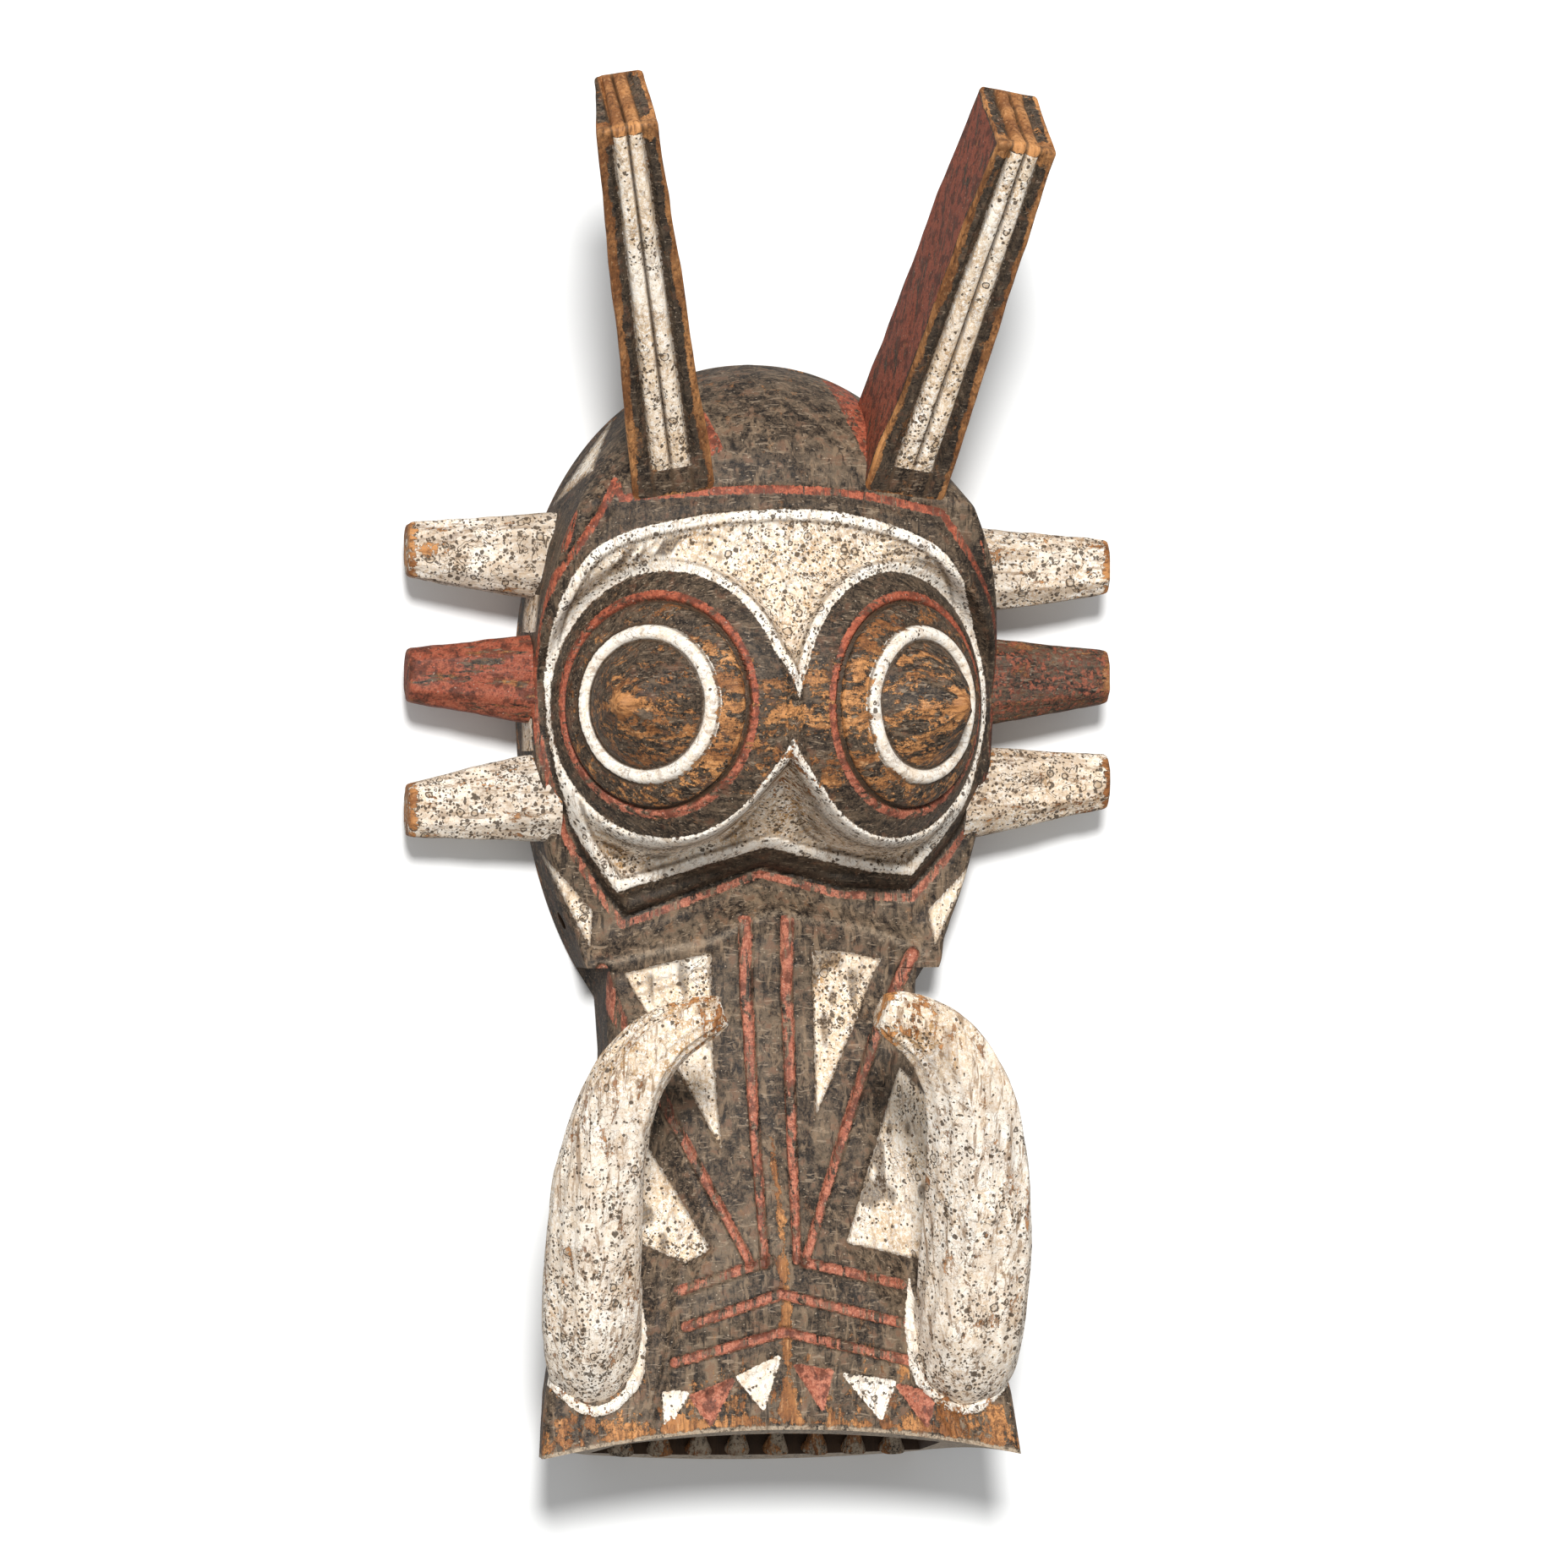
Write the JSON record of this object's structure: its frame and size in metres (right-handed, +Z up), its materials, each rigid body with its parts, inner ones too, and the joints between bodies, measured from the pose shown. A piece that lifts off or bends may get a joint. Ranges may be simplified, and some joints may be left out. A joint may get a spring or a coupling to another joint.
{
  "type": "carved wooden mask",
  "caption": "Wall-hung carved warthog mask with plank horns, turned cone eyes, blunt side lugs, curved tusks and an open toothed mouth, painted black, cream and red.",
  "frame": {"origin": "the hanging point, under the crown on the wall plane, 20 mm below the top of the head", "axes": "+Z up, the face looks along -Y, +X is the viewer's right; the back rim lies on the wall plane y = 0"},
  "size_m": [0.334, 0.1804, 0.6483],
  "materials": {
    "sooty_wood": "matte black earth paint over carved wood, worn to bare orange wood on the arrises",
    "cream_wood": "chalky cream kaolin paint, speckled and crackled",
    "red_wood": "dull iron-red earth paint",
    "bare_wood": "bare hardwood, hand-rubbed"
  },
  "bodies": {
    "root": {"head_shell": "sooty_wood", "snout": "sooty_wood", "lower_jaw": "sooty_wood", "lower_teeth": "bare_wood", "left_horn": "sooty_wood", "right_horn": "sooty_wood", "left_eye_boss": "sooty_wood", "right_eye_boss": "sooty_wood", "left_tusk": "cream_wood", "right_tusk": "cream_wood", "left_upper_lug": "cream_wood", "left_middle_lug": "red_wood", "left_lower_lug": "cream_wood", "right_upper_lug": "cream_wood", "right_middle_lug": "red_wood", "right_lower_lug": "cream_wood", "neck_dowels": "bare_wood", "jaw_dowels": "bare_wood"}
  },
  "joints": []
}
